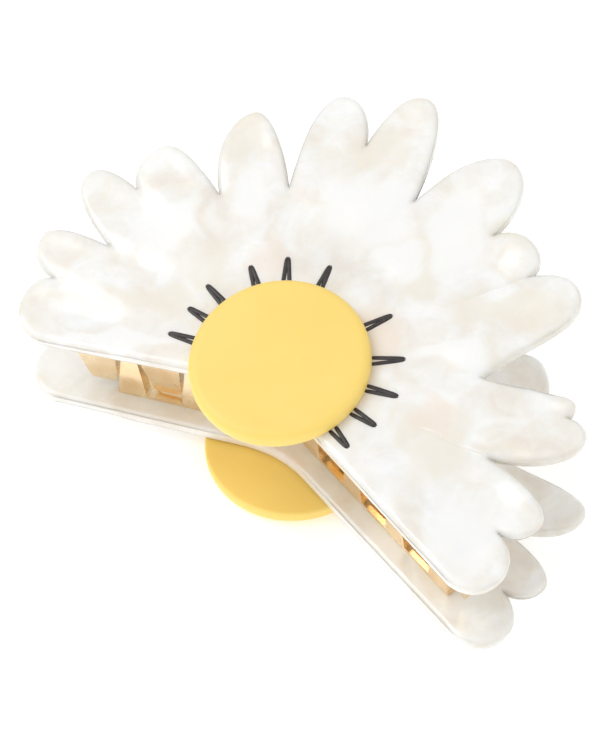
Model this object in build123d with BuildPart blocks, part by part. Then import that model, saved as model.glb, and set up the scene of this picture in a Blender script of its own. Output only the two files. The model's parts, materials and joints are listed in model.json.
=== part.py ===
"""Claw hair clip shaped as a flower: two petal plates with a round centre each, two metal combs,
and a sprung hinge between the plates. Millimetres. Z is up from the back half to the front half,
X runs along the clip, Y from the jaw edge towards the handle petals. The origin is the middle of
the outer face of the back centre disc, on which the clip lies. Each half is drawn as a back half;
the front half's pieces are turned over about the mid plane."""
from build123d import *
from math import cos, sin, radians, hypot, degrees, atan2
import os

os.makedirs("parts", exist_ok=True)

# ---- sizes
CENTRE_R = 15.0          # round flower centre
CENTRE_T = 2.85
CENTRE_ROUND = 1.2       # rounding of its outer edge
CEMENT_R = 13.0          # solvent cement film between centre and plate
CEMENT_T = 0.15
PLATE_T = 2.5            # acetate sheet
HALF_SEP = 11.6          # mid plane to a plate's outer face, on the flower axis
SPLAY = 4.8              # each plate leans away from the mid plane, towards the handles
DROOP_L = 19.5           # slope of the jaw edge, left and right of the flower axis
DROOP_R = 16.0
EDGE_Y = -4.0            # jaw edge on the flower axis
INLAY_T = 0.5            # depth of the painted strokes
INLAY_R0 = 14.4
INLAY_R1 = 20.2

# ---- derived heights in the back half
Z_OUT = CENTRE_T + CEMENT_T
Z_IN = Z_OUT + PLATE_T
SA = sin(radians(SPLAY))
CA = cos(radians(SPLAY))
MID_Y = -HALF_SEP * SA
MID_Z = Z_OUT + HALF_SEP * CA
MID = Plane(origin=(0, MID_Y, MID_Z), x_dir=(1, 0, 0), z_dir=(0, -SA, CA))

# ---- petals: (lobe tip, notch, lobe tip) or (tip,), each (radius, angle from +Y, + to the left)
VALLEYS = [(39.0, 84.8), (36.3, 53.4), (35.0, 34.3), (37.7, 0.0), (43.3, -35.0),
           (33.0, -61.0), (38.5, -83.2)]
PETALS = [
    [(47.0, 105.0), (43.6, 98.5), (50.0, 91.0)],
    [(52.4, 75.5), (44.3, 70.2), (49.2, 61.5)],
    [(50.2, 41.5)],
    [(53.2, 24.6), (44.4, 17.3), (55.8, 9.8)],
    [(53.2, -11.2), (42.0, -21.4), (46.6, -29.3)],
    [(50.2, -42.0)],
    [(48.6, -66.0), (47.9, -68.8), (51.6, -72.6)],
    [(51.7, -91.0), (47.2, -96.7), (53.2, -104.0)],
]
BACK_PETALS = [list(p) for p in PETALS]
BACK_PETALS[4] = [(53.2, -11.2), (41.0, -20.5), (43.0, -26.5)]
BACK_PETALS[5] = [(44.6, -37.0)]
BACK_PETALS[6] = [(51.2, -73.5)]
BACK_VALLEYS = list(VALLEYS)
BACK_VALLEYS[4] = (40.6, -31.0)
BACK_VALLEYS[5] = (34.0, -62.0)
LEANS = {(5, 1): -0.8, (6, 0): -0.5}    # sides that lean over further: (petal, side)
INLAY_ANGLES = [104, 88, 73.5, 51, 33, 12, -30, -54.5, -74, -92, -109]

# ---- combs: teeth centres along the jaw edge from the flower axis
PITCH = 11.3
FRONT_TEETH = [-34.2 + PITCH * k for k in range(8)]
BACK_TEETH = [-28.55 + PITCH * k for k in range(7)]
FRONT_BASE_W = 8.6
FRONT_TIP_W = 4.8
BACK_BASE_W = 5.2
BACK_TIP_W = 1.6
COMB_Y = 0.6             # comb line on the flower axis
SHEET = 0.7              # comb sheet thickness
RAIL_T = 0.8
RAIL_W = 3.6
FLANGE = 1.4             # depth of the folded sides of a tooth
TIP_GAP = 1.6
RIVET_R = 0.6
RIVET_DEEP = 1.8
RIVET_IN = 2.5
RIVET_S = [-31.0, -11.5, 11.0, 34.0]

# ---- hinge
PIN_Y0 = 20.0            # along the mid plane from the flower axis
HY = MID_Y + PIN_Y0 * CA
HZ = MID_Z + PIN_Y0 * SA
PIN_R = 1.1
RUN_FIT = 0.05
PIN_HEAD_R = 1.9
PIN_HEAD_T = 0.9
EAR_T = 1.0
EAR_R = 2.6
BACK_EAR_X = 10.1
FRONT_EAR_X = 8.6
LEAF_T = 0.8
LEAF_HALF_Y = 4.6
LEAF_RIVET_R = 0.8
WIRE_R = 0.55
COIL_R = 2.05
COIL_PITCH = 1.25


def polar(p):
    """radius, angle from +Y to the left -> x, y"""
    return (-p[0] * sin(radians(p[1])), p[0] * cos(radians(p[1])))


def out(p):
    """unit vector away from the flower axis at a polar point"""
    return (-sin(radians(p[1])), cos(radians(p[1])))


def lobe_side(valley, tip, lean):
    """control points of the curve from a valley or notch to a lobe tip"""
    v, t = polar(valley), polar(tip)
    uv, ut = out(valley), out(tip)
    side = 1.0 if tip[1] > valley[1] else -1.0
    tx, ty = -ut[1] * side, ut[0] * side          # along the rim, from the valley to the tip
    across = abs((t[0] - v[0]) * tx + (t[1] - v[1]) * ty)
    rise = max(tip[0] - valley[0], 1.0)
    wx, wy = uv[0] - lean * tx, uv[1] - lean * ty
    p1 = (v[0] + 0.55 * rise * wx, v[1] + 0.55 * rise * wy)
    p2 = (t[0] - 0.62 * across * tx, t[1] - 0.62 * across * ty)
    return [v, p1, p2, t]


def outline_curves(petals, valleys):
    """list of Bezier control points round the petals, from the left jaw corner to the right"""
    curves = []
    for i, petal in enumerate(petals):
        if len(petal) == 3:
            a, notch, b = petal
            if i > 0:
                curves.append(lobe_side(valleys[i - 1], a, -0.2))
            curves.append(lobe_side(notch, a, -0.15)[::-1])
            curves.append(lobe_side(notch, b, -0.15))
            if i < len(petals) - 1:
                curves.append(lobe_side(valleys[i], b, -0.2)[::-1])
        else:
            curves.append(lobe_side(valleys[i - 1], petal[0], LEANS.get((i, 0), -0.12)))
            curves.append(lobe_side(valleys[i], petal[0], LEANS.get((i, 1), -0.12))[::-1])
    return curves


def edge_y(x):
    slope = DROOP_L if x < 0 else DROOP_R
    return EDGE_Y - abs(x) * sin(radians(slope)) / cos(radians(slope))


def draw_outline(petals, valleys):
    curves = outline_curves(petals, valleys)
    for c in curves:
        Bezier(*c)
    left = curves[0][0]
    right = curves[-1][3]
    rl, rr = (-38.0, edge_y(-38.0)), (45.0, edge_y(45.0))
    Bezier(right, (right[0] - 0.6, right[1] - 2.6), (rr[0] + 3.6, edge_y(rr[0] + 3.6) + 0.5), rr)
    cr, cl = (7.0, edge_y(7.0)), (-7.0, edge_y(-7.0))
    Line(rr, cr)
    Bezier(cr, (2.4, edge_y(2.4)), (-2.4, edge_y(-2.4)), cl)
    Line(cl, rl)
    Bezier(rl, (rl[0] - 3.6, edge_y(rl[0] - 3.6) + 0.4), (left[0] + 0.4, left[1] - 2.6), left)


def along(s, inset=0.0):
    """point and outward direction on the comb line at distance s from the flower axis"""
    slope = radians(DROOP_L if s < 0 else DROOP_R)
    side = -1.0 if s < 0 else 1.0
    t = (cos(slope), -side * sin(slope))
    if abs(s) < 1.0:
        t = (1.0, 0.0)
    n = (t[1], -t[0])
    x, y = s * cos(slope), COMB_Y - abs(s) * sin(slope)
    return (x - inset * n[0], y - inset * n[1]), t, n


def reach(y):
    """length of a tooth that stops TIP_GAP short of the other plate"""
    h = MID_Z - Z_IN
    two = radians(2 * SPLAY)
    return h + (h - TIP_GAP + (y - MID_Y) * sin(two)) / cos(two)


def stroke(angle):
    """V-shaped stroke, its point outwards"""
    a = (cos(radians(angle)), sin(radians(angle)))
    r0, r1 = INLAY_R0, INLAY_R1
    mid = r0 + 0.62 * (r1 - r0)
    pts = [(-0.85, r0), (-0.52, r1 - 0.25), (-0.25, r1), (0.25, r1), (0.52, r1 - 0.25),
           (0.85, r0), (0.3, r0), (0.0, mid), (-0.3, r0)]
    return [(x * a[0] - y * a[1], x * a[1] + y * a[0]) for x, y in pts]


def leaf_rivets():
    return [(-4.6, HY - 2.4), (4.6, HY - 2.4), (-4.6, HY + 2.4), (4.6, HY + 2.4)]


def make_plate(petals, valleys):
    """petal plate cut from sheet, with blind rivet holes and the pockets of the strokes"""
    with BuildPart() as plate:
        with BuildSketch(Plane.XY.offset(Z_OUT)):
            with BuildLine():
                draw_outline(petals, valleys)
            make_face()
        extrude(amount=PLATE_T)
        for s in RIVET_S:
            p, _, _ = along(s, RIVET_IN)
            with BuildSketch(Plane(origin=(p[0], p[1], Z_IN))):
                Circle(RIVET_R)
            extrude(amount=-RIVET_DEEP, mode=Mode.SUBTRACT)
        for x, y in leaf_rivets():
            with BuildSketch(Plane(origin=(x, y, Z_IN))):
                Circle(LEAF_RIVET_R)
            extrude(amount=-RIVET_DEEP, mode=Mode.SUBTRACT)
        for a in INLAY_ANGLES:
            with BuildSketch(Plane.XY.offset(Z_OUT)):
                Polygon(*stroke(a), align=None)
            extrude(amount=INLAY_T, mode=Mode.SUBTRACT)
    return plate


def make_comb(teeth, base_w, tip_w):
    """rail on the plate with folded trapezoid teeth standing on its outer side"""
    s0, s1 = teeth[0] - base_w / 2, min(teeth[-1] + base_w / 2, 46.5)
    (a, _, n0), (b, _, n1) = along(s0), along(s1)
    outer = [(a[0] + SHEET * n0[0], a[1] + SHEET * n0[1]), (0, COMB_Y - SHEET - 0.05),
             (b[0] + SHEET * n1[0], b[1] + SHEET * n1[1])]
    inner = [(b[0] - RAIL_W * n1[0], b[1] - RAIL_W * n1[1]), (0, COMB_Y + RAIL_W + 0.15),
             (a[0] - RAIL_W * n0[0], a[1] - RAIL_W * n0[1])]
    with BuildPart() as comb:
        with BuildSketch(Plane.XY.offset(Z_IN)):
            Polygon(*(outer + inner), align=None)
        extrude(amount=RAIL_T)
        for s in teeth:
            p, t, n = along(s)
            wb = base_w / 2
            wt = tip_w / 2
            if s + wb > s1:
                wb = s1 - s
                wt = wb * 0.35
            tall = reach(p[1])
            face = Plane(origin=(p[0], p[1], Z_IN), x_dir=(t[0], t[1], 0), z_dir=(n[0], n[1], 0))
            with BuildSketch(face):
                Polygon((-wb, 0), (wb, 0), (wt, tall - 0.6), (wt - 0.5, tall), (0.5 - wt, tall),
                        (-wt, tall - 0.6), align=None)
            extrude(amount=SHEET)
            for side in (-1, 1):
                with BuildSketch(face):
                    Polygon((side * wb, 0), (side * wt, tall - 0.8),
                            (side * (wt - 0.5), tall - 0.8), (side * (wb - 0.5), 0), align=None)
                extrude(amount=-FLANGE)
        for s in RIVET_S:
            q, _, _ = along(s, RIVET_IN)
            with BuildSketch(Plane(origin=(q[0], q[1], Z_IN))):
                Circle(RIVET_R)
            extrude(amount=RAIL_T, mode=Mode.SUBTRACT)
    return comb


def make_rivets(places, r, through, head_r, head_t):
    """blind rivets from the plate up through a sheet, with a low head"""
    with BuildPart() as rivets:
        for x, y in places:
            with BuildSketch(Plane(origin=(x, y, Z_IN - RIVET_DEEP))):
                Circle(r)
            extrude(amount=RIVET_DEEP + through)
            with BuildSketch(Plane(origin=(x, y, Z_IN + through))):
                Circle(head_r)
            extrude(amount=head_t)
    return rivets


def make_leaf(ear_x, bore_r):
    """U-shaped hinge leaf: a base on the plate and two ears up to the pin"""
    half = ear_x + EAR_T
    with BuildPart() as leaf:
        with BuildSketch(Plane.XY.offset(Z_IN)):
            Polygon((-half, HY - LEAF_HALF_Y), (half, HY - LEAF_HALF_Y),
                    (half, HY + LEAF_HALF_Y), (-half, HY + LEAF_HALF_Y), align=None)
        extrude(amount=LEAF_T)
        for x0 in (-half, ear_x):
            with BuildSketch(Plane(origin=(x0, 0, 0), x_dir=(0, 1, 0), z_dir=(1, 0, 0))):
                Polygon((HY - 4.2, Z_IN), (HY + 4.2, Z_IN), (HY + 2.5, HZ + 0.6),
                        (HY - 2.5, HZ + 0.6), align=None)
            extrude(amount=EAR_T)
            eye = Plane(origin=(x0, HY, HZ), x_dir=(0, 1, 0), z_dir=(1, 0, 0))
            with BuildSketch(eye):
                Circle(EAR_R)
            extrude(amount=EAR_T)
            with BuildSketch(eye):
                Circle(bore_r)
            extrude(amount=EAR_T, mode=Mode.SUBTRACT)
        for x, y in leaf_rivets():
            with BuildSketch(Plane(origin=(x, y, Z_IN))):
                Circle(LEAF_RIVET_R)
            extrude(amount=LEAF_T, mode=Mode.SUBTRACT)
    return leaf


# ---- back half
with BuildPart() as back_centre:
    with BuildSketch(Plane.XY):
        Circle(CENTRE_R)
    extrude(amount=CENTRE_T)
    fillet(back_centre.edges().group_by(Axis.Z)[0], CENTRE_ROUND)
    fillet(back_centre.edges().group_by(Axis.Z)[-1], 0.5)

with BuildPart() as back_cement:
    # film only where centre and plate meet, held back from the jaw edge
    hold = [(x, edge_y(x) + 0.8) for x in (-14.0, -7.0)] + [(0.0, -4.4)]
    hold += [(x, edge_y(x) + 0.8) for x in (7.0, 14.0)] + [(14.0, 14.0), (-14.0, 14.0)]
    with BuildSketch(Plane.XY.offset(CENTRE_T)):
        Circle(CEMENT_R)
        Polygon(*hold, align=None, mode=Mode.INTERSECT)
    extrude(amount=CEMENT_T)


back_plate = make_plate(BACK_PETALS, BACK_VALLEYS)
back_comb = make_comb(BACK_TEETH, BACK_BASE_W, BACK_TIP_W)
back_leaf = make_leaf(BACK_EAR_X, PIN_R)
back_comb_rivets = make_rivets([along(s, RIVET_IN)[0] for s in RIVET_S], RIVET_R, RAIL_T, 1.05, 0.35)
back_leaf_rivets = make_rivets(leaf_rivets(), LEAF_RIVET_R, LEAF_T, 1.4, 0.45)

with BuildPart() as back_strokes:
    for a in INLAY_ANGLES:
        with BuildSketch(Plane.XY.offset(Z_OUT)):
            Polygon(*stroke(a), align=None)
        extrude(amount=INLAY_T)

# ---- front half: drawn as a back half, then turned over about the mid plane
flat_plate = make_plate(PETALS, VALLEYS)
flat_comb = make_comb(FRONT_TEETH, FRONT_BASE_W, FRONT_TIP_W)
flat_leaf = make_leaf(FRONT_EAR_X, PIN_R + RUN_FIT)

with BuildPart() as front_plate:
    mirror(flat_plate.part, about=MID)

with BuildPart() as front_centre:
    mirror(back_centre.part, about=MID)

with BuildPart() as front_cement:
    mirror(back_cement.part, about=MID)

with BuildPart() as front_strokes:
    mirror(back_strokes.part, about=MID)

with BuildPart() as front_comb:
    mirror(flat_comb.part, about=MID)

with BuildPart() as front_comb_rivets:
    mirror(back_comb_rivets.part, about=MID)

with BuildPart() as front_leaf:
    mirror(flat_leaf.part, about=MID)

with BuildPart() as front_leaf_rivets:
    mirror(back_leaf_rivets.part, about=MID)

# ---- pin and spring
PIN_END = BACK_EAR_X + EAR_T
with BuildPart() as hinge_pin:
    with BuildSketch(Plane(origin=(-PIN_END, HY, HZ), x_dir=(0, 1, 0), z_dir=(1, 0, 0))):
        Circle(PIN_R)
    extrude(amount=2 * PIN_END)
    for x0 in (-PIN_END - PIN_HEAD_T, PIN_END):
        with BuildSketch(Plane(origin=(x0, HY, HZ), x_dir=(0, 1, 0), z_dir=(1, 0, 0))):
            Circle(PIN_HEAD_R)
        extrude(amount=PIN_HEAD_T)
    ends = hinge_pin.edges().group_by(Axis.X)
    fillet(ends[0] + ends[-1], 0.5)

# the wire's free ends press on the two plates, LEG_Y from the pin
LEG_Y = 8.8
leg_drop = HZ - Z_IN - WIRE_R - 0.12
leg_far = hypot(LEG_Y, leg_drop)
leg_angle = degrees(atan2(-leg_drop, LEG_Y))
leg_long = (leg_far ** 2 - COIL_R ** 2) ** 0.5
swing = degrees(atan2(leg_long, COIL_R))
start = leg_angle + swing
turn = ((2 * SPLAY - leg_angle) - swing - start) % 360.0
TURNS = 9 + turn / 360.0
coil_long = TURNS * COIL_PITCH
coil_frame = Plane(origin=(-coil_long / 2, HY, HZ),
                   x_dir=(0, cos(radians(start)), sin(radians(start))), z_dir=(1, 0, 0))
with BuildPart() as spring_flat:
    with BuildLine() as coil_path:
        Helix(pitch=COIL_PITCH, height=coil_long, radius=COIL_R)
    coil = coil_path.edges()[0]
    with BuildSketch(Plane(origin=coil @ 0, z_dir=coil % 0)):
        Circle(WIRE_R)
    sweep(path=coil)
    turned = radians(turn)
    for point, d in ((coil @ 0, (0, -1, 0)), (coil @ 1, (-sin(turned), cos(turned), 0))):
        with BuildSketch(Plane(origin=point - 0.3 * Vector(*d), z_dir=d)):
            Circle(WIRE_R)
        extrude(amount=leg_long + 0.3)

with BuildPart() as torsion_spring:
    add(spring_flat.part.moved(coil_frame.location))

PARTS = {
    "front_petal_plate": front_plate,
    "back_petal_plate": back_plate,
    "front_flower_centre": front_centre,
    "back_flower_centre": back_centre,
    "front_centre_cement": front_cement,
    "back_centre_cement": back_cement,
    "front_petal_strokes": front_strokes,
    "back_petal_strokes": back_strokes,
    "front_comb": front_comb,
    "back_comb": back_comb,
    "front_comb_rivets": front_comb_rivets,
    "back_comb_rivets": back_comb_rivets,
    "front_hinge_leaf": front_leaf,
    "back_hinge_leaf": back_leaf,
    "front_leaf_rivets": front_leaf_rivets,
    "back_leaf_rivets": back_leaf_rivets,
    "hinge_pin": hinge_pin,
    "torsion_spring": torsion_spring,
}
for name, builder in PARTS.items():
    builder.part.label = name
    export_step(builder.part, "parts/" + name + ".step")
    bb = builder.part.bounding_box()
    print(name, round(builder.part.volume, 2), "solids", len(builder.part.solids()), "valid",
          builder.part.is_valid, "z", round(bb.min.Z, 2), round(bb.max.Z, 2))
print("pin", round(HY, 3), round(HZ, 3), "mid", round(MID_Y, 3), round(MID_Z, 3))
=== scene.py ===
"""Flower claw hair clip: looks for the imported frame. Metres, Z up, X along the clip, Y towards
the handle petals. The back half lies on its round centre; the front half is its reflection in
the mid plane through the hinge pin. Shapes are worked out in millimetres and scaled by MM."""

import json
import math

import bmesh
import bpy
import numpy as np
from mathutils import Matrix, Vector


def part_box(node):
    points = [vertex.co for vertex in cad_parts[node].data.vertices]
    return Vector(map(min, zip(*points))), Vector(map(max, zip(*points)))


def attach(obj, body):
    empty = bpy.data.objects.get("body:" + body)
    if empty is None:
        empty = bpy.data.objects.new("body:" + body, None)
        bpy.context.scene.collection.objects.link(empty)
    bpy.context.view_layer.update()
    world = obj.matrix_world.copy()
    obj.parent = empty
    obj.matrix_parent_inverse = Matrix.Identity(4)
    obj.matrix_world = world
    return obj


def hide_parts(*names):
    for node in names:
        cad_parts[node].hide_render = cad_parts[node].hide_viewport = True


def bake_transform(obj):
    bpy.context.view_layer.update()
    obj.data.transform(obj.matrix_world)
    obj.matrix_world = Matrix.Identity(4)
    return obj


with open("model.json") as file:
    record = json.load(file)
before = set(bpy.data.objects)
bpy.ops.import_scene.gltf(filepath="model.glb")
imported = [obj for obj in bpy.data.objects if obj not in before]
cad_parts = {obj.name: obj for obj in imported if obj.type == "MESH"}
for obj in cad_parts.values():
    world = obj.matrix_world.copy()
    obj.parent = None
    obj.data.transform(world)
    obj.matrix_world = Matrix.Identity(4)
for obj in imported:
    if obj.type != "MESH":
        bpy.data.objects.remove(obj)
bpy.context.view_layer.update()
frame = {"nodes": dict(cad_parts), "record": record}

MM = 0.001
SPLAY = math.radians(4.8)
PIN = np.array(frame["record"]["behaviour"]["joints"][0]["pos_m"], float)
BACK_LOW, BACK_HIGH = (np.array(c, float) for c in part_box("back_petal_plate"))
Z_FACE = float(BACK_LOW[2])
Z_INNER = float(BACK_HIGH[2])
MID_NORMAL = np.array([0.0, -math.sin(SPLAY), math.cos(SPLAY)])


# ---------------------------------------------------------------- camera
VIEW_AROUND = math.radians(36.9)
VIEW_UP = math.radians(50.7)
VIEW_LEAN = math.radians(-3.59)
VIEW_FAR = 576.0                    # millimetres from the middle of the clip
VIEW_TALL = 124.1                   # millimetres of height taken in at the clip
VIEW_MIDDLE = (0.0, -0.97, 14.56)
VIEW_ASIDE, VIEW_RAISED = 2.10, 4.78
SENSOR = 36.0


def placed(x, y, z, place):
    """matrix with three axes as its columns and a place"""
    m = Matrix.Identity(4)
    for i in range(3):
        m[i][0], m[i][1], m[i][2], m[i][3] = x[i], y[i], z[i], place[i]
    return m


def set_camera():
    """long lens facing the middle of the clip: turned round by VIEW_AROUND, raised by VIEW_UP,
    then all leaned about X by VIEW_LEAN and slid a little in its own plane"""
    right = np.array([math.cos(VIEW_AROUND), math.sin(VIEW_AROUND), 0.0])
    back = np.array([math.sin(VIEW_AROUND) * math.cos(VIEW_UP),
                     -math.cos(VIEW_AROUND) * math.cos(VIEW_UP), math.sin(VIEW_UP)])
    up = np.cross(back, right)
    c, s = math.cos(VIEW_LEAN), math.sin(VIEW_LEAN)
    tilt = np.array([[1, 0, 0], [0, c, -s], [0, s, c]])
    right, up, back = tilt @ right, tilt @ up, tilt @ back
    place = (np.array(VIEW_MIDDLE) + back * VIEW_FAR + right * VIEW_ASIDE + up * VIEW_RAISED) * MM
    data = bpy.data.cameras.new("view")
    data.sensor_width = SENSOR
    data.lens = SENSOR * VIEW_FAR / VIEW_TALL
    data.clip_start = 0.01
    data.clip_end = 20.0
    cam = bpy.data.objects.new("view", data)
    cam.matrix_world = placed(right, up, back, place)
    bpy.context.scene.collection.objects.link(cam)
    bpy.context.scene.camera = cam
    return right, up, back


RIGHT, UP, BACK = set_camera()


# ---------------------------------------------------------------- mesh helpers
MERGE_WITHIN = 1e-7


def make_piece(name, verts, faces, body, merge=True):
    """object from vertex rows and face rows, smooth, with outward normals, riding on a body; a
    piece that is painted point by point isn't merged, so that its points keep their order"""
    mesh = bpy.data.meshes.new(name)
    mesh.from_pydata(verts.tolist(), [], faces)
    mesh.update()
    bm = bmesh.new()
    bm.from_mesh(mesh)
    if merge:
        bmesh.ops.remove_doubles(bm, verts=bm.verts, dist=MERGE_WITHIN)
    bmesh.ops.recalc_face_normals(bm, faces=bm.faces)
    bm.to_mesh(mesh)
    bm.free()
    mesh.polygons.foreach_set("use_smooth", np.full(len(mesh.polygons), True))
    obj = bpy.data.objects.new(name, mesh)
    bpy.context.scene.collection.objects.link(obj)
    if body:
        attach(obj, body)
    return obj


def grid_faces(rows, cols, start=0):
    """quads between neighbouring rows of a vertex grid, the last column joined to the first"""
    r = np.arange(rows - 1)[:, None]
    c = np.arange(cols)[None, :]
    d = (c + 1) % cols
    q = np.stack([r * cols + c, r * cols + d, (r + 1) * cols + d, (r + 1) * cols + c], -1)
    return (q.reshape(-1, 4) + start).tolist()


def fan_faces(row_start, cols, centre):
    """triangles from a ring of vertices to one centre vertex"""
    c = np.arange(cols)
    d = (c + 1) % cols
    return np.stack([row_start + c, row_start + d, np.full(cols, centre)], 1).tolist()


def reflect(points):
    """points turned over about the mid plane, which holds the pin and leans back by the splay"""
    away = (points - PIN) @ MID_NORMAL
    return points - 2.0 * away[..., None] * MID_NORMAL


# ---------------------------------------------------------------- petal outline, in millimetres
VALLEYS = [(39.0, 84.8), (36.3, 53.4), (35.0, 34.3), (37.7, 0.0), (43.3, -35.0),
           (33.0, -61.0), (38.5, -83.2)]
PETALS = [
    [(47.0, 105.0), (43.6, 98.5), (50.0, 91.0)],
    [(52.4, 75.5), (44.3, 70.2), (49.2, 61.5)],
    [(50.2, 41.5)],
    [(53.2, 24.6), (44.4, 17.3), (55.8, 9.8)],
    [(53.2, -11.2), (42.0, -21.4), (46.6, -29.3)],
    [(50.2, -42.0)],
    [(48.6, -66.0), (47.9, -68.8), (51.6, -72.6)],
    [(51.7, -91.0), (47.2, -96.7), (53.2, -104.0)],
]
BACK_PETALS = [list(p) for p in PETALS]
BACK_PETALS[4] = [(53.2, -11.2), (41.0, -20.5), (43.0, -26.5)]
BACK_PETALS[5] = [(44.6, -37.0)]
BACK_PETALS[6] = [(51.2, -73.5)]
BACK_VALLEYS = list(VALLEYS)
BACK_VALLEYS[4] = (40.6, -31.0)
BACK_VALLEYS[5] = (34.0, -62.0)
LEANS = {(5, 1): -0.8, (6, 0): -0.5}    # sides that lean over further: (petal, side)
DROOP = {-1: math.radians(19.5), 1: math.radians(16.0)}
EDGE_Y = -4.0
JAW_RIGHT, JAW_LEFT = 45.0, -38.0       # where the straight jaw edge ends
JAW_BEND = 7.0                          # half the length of its rounded middle
PAIR_LEAN, NOTCH_LEAN, LONE_LEAN = -0.2, -0.15, -0.12
LEAVES_BY, MEETS_BY = 0.55, 0.62        # reach of a lobe's control points
OUTLINE_STEP, FEWEST_STEPS = 0.55, 7
CHORD_SHARE, FRAME_SHARE = 0.6, 0.4     # a curve's rough length, from its chord and its frame
HEART = np.array([0.0, 0.0])


def polar(p):
    """radius and angle from +Y towards -X, to a point"""
    a = math.radians(p[1])
    return np.array([-p[0] * math.sin(a), p[0] * math.cos(a)])


def lobe_side(valley, tip, lean):
    """control points of the curve from a valley or notch out to a lobe tip: it leaves nearly
    straight out and meets the tip along the rim"""
    v, t = polar(valley), polar(tip)
    uv, ut = v / np.hypot(*v), t / np.hypot(*t)
    side = 1.0 if tip[1] > valley[1] else -1.0
    rim = np.array([-ut[1], ut[0]]) * side
    across = abs(float((t - v) @ rim))
    rise = max(tip[0] - valley[0], 1.0)
    return [v, v + LEAVES_BY * rise * (uv - lean * rim), t - MEETS_BY * across * rim, t]


def edge_y(x):
    """height of the jaw edge: it falls away from the middle by the droop angle of that side"""
    return EDGE_Y - abs(x) * math.tan(DROOP[-1 if x < 0 else 1])


def outline(petals, valleys):
    """closed outline: cubic curves round the lobes, then the jaw edge, drooping either side. Each
    curve is p0 to p3 weighted by the cubic Bernstein terms, in steps along its rough length"""
    parts = []
    for i, petal in enumerate(petals):
        if len(petal) == 3:
            a, notch, b = petal
            if i > 0:
                parts.append(lobe_side(valleys[i - 1], a, PAIR_LEAN))
            parts.append(lobe_side(notch, a, NOTCH_LEAN)[::-1])
            parts.append(lobe_side(notch, b, NOTCH_LEAN))
            if i < len(petals) - 1:
                parts.append(lobe_side(valleys[i], b, PAIR_LEAN)[::-1])
        else:
            tip = petal[0]
            parts.append(lobe_side(valleys[i - 1], tip, LEANS.get((i, 0), LONE_LEAN)))
            parts.append(lobe_side(valleys[i], tip, LEANS.get((i, 1), LONE_LEAN))[::-1])
    left, right = parts[0][0], parts[-1][3]

    def at(x, lift=0.0):
        return np.array([x, edge_y(x) + lift])

    parts.append([right, right + (-0.6, -2.6), at(48.6, 0.5), at(JAW_RIGHT)])
    parts.append([at(JAW_RIGHT), at(32.0), at(20.0), at(JAW_BEND)])
    parts.append([at(JAW_BEND), at(2.4), at(-2.4), at(-JAW_BEND)])
    parts.append([at(-JAW_BEND), at(-17.0), at(-28.0), at(JAW_LEFT)])
    parts.append([at(JAW_LEFT), at(-41.6, 0.4), left + (0.4, -2.6), left])
    rows = []
    for p in parts:
        p = np.array(p, float)
        chord = np.hypot(*(p[3] - p[0]))
        frame_long = np.hypot(*np.diff(p, axis=0).T).sum()
        long = chord * CHORD_SHARE + frame_long * FRAME_SHARE
        count = max(FEWEST_STEPS, int(long / OUTLINE_STEP))
        t = np.linspace(0.0, 1.0, count, endpoint=False)[:, None]
        rows.append((1 - t) ** 3 * p[0] + 3 * (1 - t) ** 2 * t * p[1]
                    + 3 * (1 - t) * t * t * p[2] + t ** 3 * p[3])
    return np.concatenate(rows)


# ---------------------------------------------------------------- petal plates
NEAREST_BLOCK = 4000
OUTER_ROUND, INNER_ROUND = 1.15, 1.0
EDGE_INSETS = (0, .02, .07, .16, .3, .5, .78, 1.1, 1.6, 2.3)    # rings over the rounded edge
INNER_RINGS = 38
VALLEY_GROOVE = (0.42, 2.6, 18.0)       # depth, half width, run
NOTCH_GROOVE = (0.34, 2.2, 13.0)
DISH_DEEP, DISH_WIDE, DISH_LONG, DISH_IN = 0.46, 3.4, 7.5, 10.0
LAPS = ((4, -1.0), (6, 1.0))            # valley, side on which the upper petal lies
LAP_HIGH, LAP_FADE, LAP_LIP = 0.45, 2.4, 0.5
LAP_IN, LAP_RISE, LAP_OUT = 15.0, 8.0, 2.5      # from the valley inwards, and past it
SLOW_WAVE, QUICK_WAVE, WAVE_REST = 0.30, 0.13, 0.08
FLAT_R, FLAT_FADE = 20.5, 8.0           # the sheet stays flat under the round centre


def nearest(points, line):
    """distance from each point to the nearest point of a dense line, worked out in blocks"""
    flat = points.reshape(-1, 2)
    out = np.empty(len(flat))
    for i in range(0, len(flat), NEAREST_BLOCK):
        block = flat[i:i + NEAREST_BLOCK]
        gaps = ((block[:, None, :] - line[None]) ** 2).sum(-1)
        out[i:i + NEAREST_BLOCK] = np.sqrt(gaps.min(1))
    return out.reshape(points.shape[:-1])


def smooth(t):
    """ease from 0 to 1 with level ends: three t squared less two t cubed"""
    t = np.clip(t, 0.0, 1.0)
    return t * t * (3.0 - 2.0 * t)


def polished(d, r):
    """height lost to a rounded edge at distance d from the outline: a quarter circle of radius
    r, and nothing beyond it"""
    k = np.clip(d / r, 0.0, 1.0)
    return r * (1.0 - np.sqrt(1.0 - (1.0 - k) ** 2))


def crease(x, y, point, width, run):
    """soft groove from a valley point in towards the flower's middle: a bell across the line
    times a fade along it"""
    p = polar(point)
    u = p / np.hypot(*p)
    along = x * u[0] + y * u[1]
    across = x * -u[1] + y * u[0]
    fade = smooth((along - (point[0] - run)) / run) * (along > 0)
    return np.exp(-(across / width) ** 2) * fade


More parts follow.
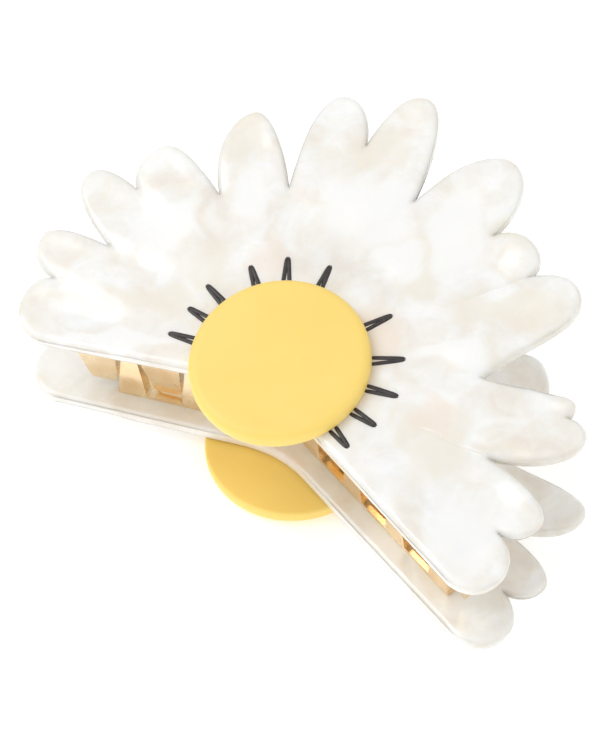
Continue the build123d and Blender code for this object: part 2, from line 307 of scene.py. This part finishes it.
def relief(x, y, petals, valleys):
    """shape of the outer face against the flat sheet, in millimetres: wide grooves in from each
    valley and notch, a shallow bell-shaped dish in each lobe, one petal lapping over the next at
    two valleys on the right, and two slow products of sines; it all fades out under the round
    centre"""
    r = np.hypot(x, y)
    a = np.degrees(np.arctan2(-x, y))
    z = np.zeros_like(x)
    deep, wide, run = VALLEY_GROOVE
    for v in valleys:
        z -= deep * crease(x, y, v, wide, run)
    deep, wide, run = NOTCH_GROOVE
    for p in petals:
        if len(p) == 3:
            z -= deep * crease(x, y, p[1], wide, run)
        for q in p[::2]:
            gap = (a - q[1]) * np.radians(1.0) * r / DISH_WIDE
            z -= DISH_DEEP * np.exp(-gap ** 2 - ((r - q[0] + DISH_IN) / DISH_LONG) ** 2)
    for k, side in LAPS:
        lap = polar(valleys[k])
        far = np.hypot(*lap)
        over = side * (y * lap[0] - x * lap[1]) / far
        along = (x * lap[0] + y * lap[1]) / far
        step_up = np.exp(-np.maximum(over, 0.0) / LAP_FADE) * smooth(over / LAP_LIP + 0.5)
        stretch = (smooth((along - far + LAP_IN) / LAP_RISE)
                   * smooth((far + LAP_OUT - along) / LAP_OUT))
        z += LAP_HIGH * step_up * stretch
    z += SLOW_WAVE * np.sin(0.21 * x + 0.11 * y + 0.6) * np.sin(0.17 * y - 0.09 * x + 1.1)
    z += QUICK_WAVE * np.sin(0.41 * x - 0.23 * y + 2.0) * np.sin(0.37 * y + 0.27 * x)
    return (z - WAVE_REST) * smooth((r - FLAT_R) / FLAT_FADE)


# soft ovals in the front sheet, mirrored in the back one, of tone, and for the peach ones of
# painted shade and painted reflection: across, up, half length, half width
WHITE_CLOUDS = [
    (-5, 31.5, 8, 7), (5, 26.5, 3.5, 4), (-32.5, 9.5, 4.5, 5.5), (-24, 24, 3.7, 4.7),
    (10, 36.5, 4.7, 9), (22, 16.5, 6, 1.9), (42.5, -10, 5.6, 6.3), (-26.5, -10.5, 13, 1.4),
]
TAN_CLOUDS = [
    (-11.5, 41.5, 7.6, 3.2), (-31, 32.5, 3, 4.4), (8.5, 27, 3, 5.7), (25, 28, 9.7, 3),
    (-22.5, 9, 3.4, 4.9), (9.5, 12, 4, 6.5), (29, 2, 5.6, 7), (-29, -3.5, 12.5, 2.4),
    (39, 6.5, 3.2, 1.1), (17, 41, 3, 2), (35, -24, 4, 3),
]
# peach ovals by the round centre: painted shade and a painted warm reflection of the yellow
# centre
PEACH_SHADE_AND_REFLECTION = [(9.5, 12, 4.5, 7.5), (2, -5, 17, 3.5), (-14, 16, 3, 4), (26, 6, 3, 5)]
CLOUD_LEAN = math.radians(32)
CLOUD_EDGE, CLOUD_SOFT = 1.28, 0.55     # where an oval ends, in half widths, and its blur
RIM_LINE, RIM_LINE_WIDE = 0.8, 0.5      # painted shade line at the very rim
RIM_SHADE, RIM_SHADE_WIDE = 0.25, 3.0   # fainter painted shade inside it
JAW_LINE, JAW_FADE = 0.35, 4.0          # how much of the line the jaw edge keeps
JAW_ABOVE, JAW_SLOPE = 4.5, 0.3


def clouds(x, y, patches):
    """how far each point lies inside soft wobbling ovals, all turned by CLOUD_LEAN: one in their
    middles, nought outside"""
    c, s = math.cos(CLOUD_LEAN), math.sin(CLOUD_LEAN)
    wx = x + 1.1 * np.sin(0.55 * y + 0.3 * x) + 0.5 * np.sin(1.3 * x)
    wy = y + 1.1 * np.sin(0.60 * x - 0.2 * y + 1.0) + 0.5 * np.sin(1.1 * y + 2.0)
    total = np.zeros_like(x)
    for px, py, long, wide in patches:
        u = ((wx - px) * c + (wy - py) * s) / long
        v = ((wy - py) * c - (wx - px) * s) / wide
        total = np.maximum(total, smooth((CLOUD_EDGE - np.hypot(u, v)) / CLOUD_SOFT))
    return total


def plate_mesh(petals, valleys, side):
    """closed sheet: rings shrink from the outline to one heart point; the outer face is the flat
    sheet plus its relief, and both faces turn down into the polished edge. Also gives each
    point's marbling and painted light: white cloud, tan cloud, painted shade towards the lobes'
    rim, and peach cloud of painted shade and painted reflection from the yellow centre"""
    rim = outline(petals, valleys)
    n = len(rim)
    reach = np.hypot(*(rim - HEART).T)
    t_edge = 1.0 - np.array(EDGE_INSETS)[:, None] / reach[None]
    shrink = np.linspace(1.0, 0.0, INNER_RINGS + 1, endpoint=False)[1:, None]
    t = np.concatenate([t_edge, shrink * t_edge[-1][None]])
    xy = HEART + t[..., None] * (rim - HEART)[None]
    x, y = xy[..., 0], xy[..., 1]
    d = nearest(xy, rim)
    d[0] = 0.0
    outer = Z_FACE / MM + polished(d, OUTER_ROUND) - relief(x, y, petals, valleys)
    under = Z_INNER / MM - polished(d, INNER_ROUND)
    top = np.concatenate([xy, outer[..., None]], -1).reshape(-1, 3)
    low = np.concatenate([xy, under[..., None]], -1).reshape(-1, 3)
    hearts = np.array([[*HEART, Z_FACE / MM], [*HEART, Z_INNER / MM]])
    verts = np.concatenate([top, low, hearts]) * MM
    rows = len(t)
    m = rows * n
    faces = grid_faces(rows, n) + grid_faces(rows, n, m)
    c = np.arange(n)
    faces += np.stack([c, (c + 1) % n, m + (c + 1) % n, m + c], 1).tolist()
    faces += fan_faces((rows - 1) * n, n, 2 * m) + fan_faces(m + (rows - 1) * n, n, 2 * m + 1)
    # painted shade at the rim: a line at the very edge and a fainter band inside it, kept weaker
    # along the jaw edge
    above_jaw = smooth((y + JAW_SLOPE * np.abs(x) + JAW_ABOVE) / JAW_FADE)
    kept = JAW_LINE + (1.0 - JAW_LINE) * above_jaw
    dim = (kept * RIM_LINE * np.exp(-(d / RIM_LINE_WIDE) ** 2)
           + above_jaw * RIM_SHADE * np.exp(-d / RIM_SHADE_WIDE))
    marble_and_painted_light = np.stack([clouds(x * side, y, WHITE_CLOUDS), clouds(x * side, y, TAN_CLOUDS), dim,
                       clouds(x * side, y, PEACH_SHADE_AND_REFLECTION)], -1).reshape(-1, 4)
    return verts, faces, np.concatenate([marble_and_painted_light, marble_and_painted_light, np.zeros((2, 4))])


def paint(obj, name, values):
    """store four numbers per point of the mesh as a named colour attribute"""
    store = obj.data.attributes.new(name, "FLOAT_COLOR", "POINT")
    store.data.foreach_set("color", values.astype(np.float32).ravel())


# ---------------------------------------------------------------- strokes round the centre
STROKES = [(104, 20.3), (88, 19.8), (73.5, 20.6), (51, 20.2), (33, 20.7), (12, 20.2),
           (-30, 20.2), (-54.5, 20.5), (-74, 20.5), (-92, 19.8), (-109, 19.3)]
STROKE_START = 14.5                     # hidden under the round centre
STROKE_RINGS = 15
BEAD_WIDE, BEAD_WIDENS, BEAD_TALL = 0.36, 0.02, 0.14
APART, OPENS, UNEVEN = 0.14, 0.42, 0.06     # of the two beads: at the tip, by the centre, varying


def tube(path, wide, tall, across, up, sides=12):
    """closed bead along a path: elliptical rings, wide across and tall up, with pinched ends"""
    n = len(path)
    ang = np.linspace(0, 2 * math.pi, sides, endpoint=False)
    ring = (path[:, None, :] + wide[:, None, None] * np.cos(ang)[None, :, None] * across
            + tall[:, None, None] * np.sin(ang)[None, :, None] * up)
    verts = np.concatenate([ring.reshape(-1, 3), path[:1], path[-1:]])
    faces = grid_faces(n, sides) + fan_faces(0, sides, n * sides)
    faces += fan_faces((n - 1) * sides, sides, n * sides + 1)
    return verts, faces


def stroke_mesh():
    """V-shaped strokes: two flat beads each, meeting at the outer end and opening evenly towards
    the centre, a little more or less from stroke to stroke, let into the sheet"""
    all_v, all_f, base = [], [], 0
    u = np.linspace(0.0, 1.0, STROKE_RINGS)
    swell = np.sqrt(np.clip(1 - (2 * u - 1) ** 6, 0.0, 1.0))
    for k, (angle, tip) in enumerate(STROKES):
        a = math.radians(angle)
        along = np.array([-math.sin(a), math.cos(a), 0.0])
        side = np.array([math.cos(a), math.sin(a), 0.0])
        dist = tip + (STROKE_START - tip) * u
        opening = APART + (OPENS + UNEVEN * math.sin(2.1 * k)) * u
        for s in (-1.0, 1.0):
            path = dist[:, None] * along + s * opening[:, None] * side
            path[:, 2] = Z_FACE / MM
            v, f = tube(path, (BEAD_WIDE + BEAD_WIDENS * u) * swell, BEAD_TALL * swell,
                        across=side, up=np.array([0.0, 0.0, 1.0]))
            all_v.append(v)
            all_f += [[i + base for i in q] for q in f]
            base += len(v)
    return np.concatenate(all_v) * MM, all_f


# ---------------------------------------------------------------- round centres
CENTRE_R, CENTRE_T = 15.0, 2.85
DOME = 0.05                             # how far the face falls by the start of the shoulder
SHOULDER_WIDE, SHOULDER_DEEP = 1.5, 1.35
BACK_ROUND = 0.5
CENTRE_SIDES, ROUND_STEPS, FACE_STEPS, INNER_STEPS = 144, 12, 13, 6


def centre_mesh():
    """turned disc, its profile carried round the axis: a nearly flat face, falling with the
    fourth power of the radius, a broad elliptical shoulder, a straight wall and a small inner
    round"""
    flat_r = CENTRE_R - SHOULDER_WIDE
    q = np.linspace(0, math.pi / 2, ROUND_STEPS)
    r = np.linspace(0, flat_r, FACE_STEPS + 1)[1:]
    face = np.stack([r, DOME * (r / flat_r) ** 4], 1)
    shoulder = np.stack([flat_r + SHOULDER_WIDE * np.sin(q),
                         DOME + SHOULDER_DEEP * (1 - np.cos(q))], 1)[1:]
    back = np.stack([CENTRE_R - BACK_ROUND + BACK_ROUND * np.cos(q),
                     CENTRE_T - BACK_ROUND + BACK_ROUND * np.sin(q)], 1)
    inner = np.linspace(CENTRE_R - BACK_ROUND, 0.0, INNER_STEPS + 2)[1:-1]
    inner = np.stack([inner, np.full(INNER_STEPS, CENTRE_T)], 1)
    prof = np.concatenate([face, shoulder, back, inner])
    n, rows = CENTRE_SIDES, len(prof)
    ang = np.linspace(0, 2 * math.pi, n, endpoint=False)
    v = np.stack([prof[:, 0, None] * np.cos(ang), prof[:, 0, None] * np.sin(ang),
                  np.repeat(prof[:, 1, None], n, 1)], -1).reshape(-1, 3)
    v = np.concatenate([v, [[0, 0, 0], [0, 0, CENTRE_T]]]) * MM
    f = grid_faces(rows, n) + fan_faces(0, n, rows * n)
    return v, f + fan_faces((rows - 1) * n, n, rows * n + 1)


# ---------------------------------------------------------------- spring
COIL_R, COIL_PITCH, COIL_TURNS = 2.05, 1.25, 9
WIRE_R = 0.55
LEG_Y = 8.8                             # where the wire's ends press, from the pin
LEG_CLEAR = 0.12                        # gap between a leg's end and its plate
COIL_STEPS, LEG_STEPS = COIL_TURNS * 28, 12


def spring_mesh():
    """torsion spring: a wire circle carried along one straight leg, the helix round the pin, and
    the other leg, each ring of the wire square to the path"""
    drop = (PIN[2] - Z_INNER) / MM - WIRE_R - LEG_CLEAR
    lean = math.atan2(-drop, LEG_Y)
    leg = math.sqrt(math.hypot(LEG_Y, drop) ** 2 - COIL_R ** 2)
    swing = math.atan2(leg, COIL_R)
    start = lean + swing
    turn = (2 * SPLAY - lean - swing - start) % (2 * math.pi)
    total = COIL_TURNS * 2 * math.pi + turn
    long = total / (2 * math.pi) * COIL_PITCH
    t = np.linspace(0.0, 1.0, COIL_STEPS)
    ang = start + t * total
    coil = np.stack([-long / 2 + t * long, COIL_R * np.cos(ang), COIL_R * np.sin(ang)], 1)
    u = np.linspace(1.0, 0.0, LEG_STEPS, endpoint=False)[:, None]
    first, last = start - math.pi / 2, start + total + math.pi / 2
    d0 = np.array([0.0, math.cos(first), math.sin(first)])
    d1 = np.array([0.0, math.cos(last), math.sin(last)])
    path = np.concatenate([coil[0] + u * leg * d0, coil, coil[-1] + u[::-1] * leg * d1])
    path = path + PIN / MM
    along = np.gradient(path, axis=0)
    along /= np.linalg.norm(along, axis=1)[:, None]
    side = np.cross(along, [1.0, 0.0, 0.0])
    side /= np.linalg.norm(side, axis=1)[:, None]
    rise = np.cross(along, side)
    wire = np.full(len(path), WIRE_R)
    v, f = tube(path, wire, wire, across=side[:, None], up=rise[:, None])
    return v * MM, f, long


# ---------------------------------------------------------------- finishes
def finish(name):
    """new material, with its node tree and its shader"""
    mat = bpy.data.materials.new(name)
    mat.use_nodes = True
    return mat, mat.node_tree, mat.node_tree.nodes["Principled BSDF"]


def put(node, values):
    """set a node's sockets by name"""
    for key, value in values.items():
        node.inputs[key].default_value = value


def noise(tree, scale, detail, **more):
    """output of a noise that runs through the piece on its own Object coordinates"""
    coord = tree.nodes.new("ShaderNodeTexCoord")
    node = tree.nodes.new("ShaderNodeTexNoise")
    put(node, {"Scale": scale, "Detail": detail, **more})
    tree.links.new(coord.outputs["Object"], node.inputs["Vector"])
    return node.outputs["Fac"]


def ramp(tree, stops, source):
    """colours at places between 0 and 1, blended by the source"""
    node = tree.nodes.new("ShaderNodeValToRGB")
    while len(node.color_ramp.elements) < len(stops):
        node.color_ramp.elements.new(0.5)
    for e, (pos, col) in zip(node.color_ramp.elements, stops):
        e.position = pos
        e.color = (*col, 1.0)
    tree.links.new(source, node.inputs["Fac"])
    return node.outputs["Color"]


def layer(tree, mode, most, under, over):
    """colour over colour: most is a number or a socket, over is a colour or a socket"""
    node = tree.nodes.new("ShaderNodeMixRGB")
    node.blend_type = mode
    tree.links.new(under, node.inputs["Color1"])
    if isinstance(most, float):
        node.inputs["Fac"].default_value = most
    else:
        tree.links.new(most, node.inputs["Fac"])
    if isinstance(over, tuple):
        node.inputs["Color2"].default_value = (*over, 1.0)
    else:
        tree.links.new(over, node.inputs["Color2"])
    return node.outputs["Color"]


def ripple(tree, skin, height, strength, distance):
    """bump on the shader from a height"""
    bump = tree.nodes.new("ShaderNodeBump")
    put(bump, {"Strength": strength, "Distance": distance})
    tree.links.new(height, bump.inputs["Height"])
    tree.links.new(bump.outputs["Normal"], skin.inputs["Normal"])


def grey(level):
    """colour with three equal channels"""
    return (level, level, level)


# layers over the pearl, from the marbling and the painted light: channel, colour, blending, most
PEARL_LAYERS = (
    ("Green", (0.86, 0.81, 0.715), "MIX", 0.6),
    ("Red", (0.965, 0.962, 0.945), "MIX", 0.85),
    # peach layer: painted shade and painted reflection of the yellow centre
    ("Alpha", (0.90, 0.76, 0.66), "MIX", 0.4),
    # painted shade along the polished rim, multiplied over the pearl
    ("Blue", (0.78, 0.77, 0.73), "MULTIPLY", 0.7),
)


def pearl_acetate():
    """pearly sheet: slow clouds of pale grey, cream and rose with wispy fibres in them, then tan
    and white patches from the piece's own marbling, peach patches of painted shade and painted
    reflection from the yellow centre, and a line of painted shade at the polished rim"""
    mat, tree, skin = finish("pearl_acetate")
    link = tree.links.new
    drift = noise(tree, 75.0, 3.0)
    cloud = noise(tree, 135.0, 4.0, Distortion=0.7)
    fibre = noise(tree, 330.0, 4.0, Roughness=0.6, Distortion=1.2)
    tone = ramp(tree, [(0.33, (0.865, 0.82, 0.77)), (0.44, (0.90, 0.875, 0.83)),
                       (0.54, (0.92, 0.912, 0.89)), (0.66, (0.965, 0.965, 0.955))], cloud)
    wisp = ramp(tree, [(0.35, (0.955, 0.95, 0.93)), (0.65, (1.0, 1.0, 1.0))], fibre)
    look = layer(tree, "MULTIPLY", 0.8, tone, wisp)
    marble_and_painted_light = tree.nodes.new("ShaderNodeAttribute")
    marble_and_painted_light.attribute_name = "marble_and_painted_light"
    part = tree.nodes.new("ShaderNodeSeparateColor")
    link(marble_and_painted_light.outputs["Color"], part.inputs["Color"])
    for channel, colour, mode, most in PEARL_LAYERS:
        much = tree.nodes.new("ShaderNodeMath")
        much.operation = "MULTIPLY"
        much.inputs[1].default_value = most
        link((marble_and_painted_light if channel == "Alpha" else part).outputs[channel], much.inputs[0])
        look = layer(tree, mode, much.outputs[0], look, colour)
    link(look, skin.inputs["Base Color"])
    link(ramp(tree, [(0.3, grey(0.14)), (0.7, grey(0.26))], drift), skin.inputs["Roughness"])
    ripple(tree, skin, drift, 0.3, 0.0006)
    put(skin, {"IOR": 1.48, "Subsurface Weight": 0.35, "Subsurface Radius": (1.0, 0.85, 0.65),
               "Subsurface Scale": 0.0025, "Coat Weight": 0.45, "Coat Roughness": 0.09})
    return mat


def mottled(name, stops, scale, detail, **sockets):
    """finish whose base colour drifts between two tones; sockets are the shader's own numbers,
    with _ for a space. Gives the material, its tree, its shader and the noise"""
    mat, tree, skin = finish(name)
    wave = noise(tree, scale, detail)
    tree.links.new(ramp(tree, stops, wave), skin.inputs["Base Color"])
    put(skin, {key.replace("_", " "): value for key, value in sockets.items()})
    return mat, tree, skin, wave


def yellow_acetate():
    """satin yellow with a slow drift of tone and a very fine orange-peel"""
    mat, tree, skin, _ = mottled(
        "yellow_satin", [(0.3, (0.985, 0.70, 0.175)), (0.7, (1.0, 0.735, 0.205))], 60.0, 2.0,
        Roughness=0.42, Subsurface_Weight=0.15, Subsurface_Radius=(1.0, 0.6, 0.2),
        Subsurface_Scale=0.0015)
    ripple(tree, skin, noise(tree, 1400.0, 2.0), 0.12, 0.0001)
    return mat


def gold_tone():
    """polished gold-tone plating, faintly wavy, with small clouded marks"""
    mat, tree, skin, wave = mottled(
        "gold_tone", [(0.3, (0.91, 0.69, 0.42)), (0.7, (0.97, 0.81, 0.57))], 260.0, 2.0,
        Metallic=1.0)
    mark = ramp(tree, [(0.35, grey(0.18)), (0.8, grey(0.34))], wave)
    tree.links.new(mark, skin.inputs["Roughness"])
    ripple(tree, skin, wave, 0.2, 0.00012)
    return mat


PEARL = pearl_acetate()
YELLOW = yellow_acetate()
GOLD = gold_tone()
# drawn spring wire: grey, finely clouded
STEEL = mottled("wire_steel", [(0.3, (0.50, 0.48, 0.45)), (0.7, (0.66, 0.64, 0.60))],
                900.0, 3.0, Metallic=1.0, Roughness=0.32)[0]
# near-black lacquer in the strokes, a little uneven
DARK = mottled("dark_fill", [(0.3, (0.022, 0.018, 0.018)), (0.7, (0.05, 0.042, 0.04))],
               1200.0, 2.0, Roughness=0.38)[0]
# thin dried cement line, amber and cloudy
CEMENT = mottled("dried_cement", [(0.3, (0.50, 0.38, 0.20)), (0.7, (0.68, 0.56, 0.36))],
                 500.0, 2.0, Roughness=0.5)[0]


def dress(obj, mat):
    """give an object one material"""
    obj.data.materials.clear()
    obj.data.materials.append(mat)


# ---------------------------------------------------------------- pieces
verts, faces, marble_and_painted_light = plate_mesh(BACK_PETALS, BACK_VALLEYS, -1.0)
back_plate = make_piece("back_petals", verts, faces, "back_half", merge=False)
paint(back_plate, "marble_and_painted_light", marble_and_painted_light)
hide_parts("back_petal_plate")
dress(back_plate, PEARL)

verts, faces, marble_and_painted_light = plate_mesh(PETALS, VALLEYS, 1.0)
front_plate = make_piece("front_petals", reflect(verts), faces, "front_half",
                         merge=False)
paint(front_plate, "marble_and_painted_light", marble_and_painted_light)
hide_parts("front_petal_plate")
dress(front_plate, PEARL)

verts, faces = stroke_mesh()
for name, pts, body in (("back_strokes", verts, "back_half"),
                        ("front_strokes", reflect(verts), "front_half")):
    piece = make_piece(name, pts, faces, body)
    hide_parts(name.replace("strokes", "petal_strokes"))
    dress(piece, DARK)

verts, faces = centre_mesh()
for name, pts, body in (("back_centre", verts, "back_half"),
                        ("front_centre", reflect(verts), "front_half")):
    piece = make_piece(name, pts, faces, body)
    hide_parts(name.replace("centre", "flower_centre"))
    dress(piece, YELLOW)

verts, faces, coil_long = spring_mesh()
spring = make_piece("wound_spring", verts, faces, None)
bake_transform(spring)
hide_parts("torsion_spring")
dress(spring, STEEL)

for half_name in ("front", "back"):
    for metal in ("comb", "comb_rivets", "hinge_leaf", "leaf_rivets"):
        dress(frame["nodes"][half_name + "_" + metal], GOLD)
    dress(frame["nodes"][half_name + "_centre_cement"], CEMENT)
dress(frame["nodes"]["hinge_pin"], GOLD)


# ---------------------------------------------------------------- floor, light
FLOOR_HALF = 4.0
FLOOR_Z = -0.00005
WORLD_STRENGTH = 0.73
# soft lights: direction in the view's own axes, distance, size, power
LIGHTS = {
    "key_soft": ((-0.75, 0.75, 0.75), 0.8, 0.45, 2.0),
    "fill_right": ((1.0, 0.1, 0.5), 0.8, 0.5, 0.8),
    "fill_low": ((-0.45, -1.0, 0.5), 0.7, 0.6, 1.7),
}


def floor():
    """plain pale floor, a hair below the face that the clip rests on"""
    mesh = bpy.data.meshes.new("floor")
    corners = ((-1, -1), (1, -1), (1, 1), (-1, 1))
    mesh.from_pydata([(FLOOR_HALF * x, FLOOR_HALF * y, FLOOR_Z) for x, y in corners], [],
                     [(0, 1, 2, 3)])
    obj = bpy.data.objects.new("floor", mesh)
    bpy.context.scene.collection.objects.link(obj)
    mat, tree, skin = finish("floor_pale")
    put(skin, {"Base Color": (0.97, 0.97, 0.97, 1.0), "Roughness": 0.9,
               "Specular IOR Level": 0.1, "Emission Color": (1.0, 1.0, 1.0, 1.0),
               "Emission Strength": 0.3})
    obj.data.materials.append(mat)


def soft_light(name, toward, far, size, power):
    """square soft light looking at the clip from a direction given in the view's own axes"""
    way = RIGHT * toward[0] + UP * toward[1] + BACK * toward[2]
    way = way / np.linalg.norm(way)
    data = bpy.data.lights.new(name, "AREA")
    data.shape = "SQUARE"
    data.size = size
    data.energy = power
    obj = bpy.data.objects.new(name, data)
    across = np.cross([0.0, 0.0, 1.0], way)
    across = across / np.linalg.norm(across)
    obj.matrix_world = placed(across, np.cross(way, across), way, way * far)
    bpy.context.scene.collection.objects.link(obj)


floor()
for name, light in LIGHTS.items():
    soft_light(name, *light)

world = bpy.data.worlds.new("studio")
bpy.context.scene.world = world
world.use_nodes = True
put(world.node_tree.nodes["Background"],
    {"Color": (1.0, 1.0, 1.0, 1.0), "Strength": WORLD_STRENGTH})
bpy.context.scene.view_settings.view_transform = "Standard"
bpy.context.scene.view_settings.look = "None"
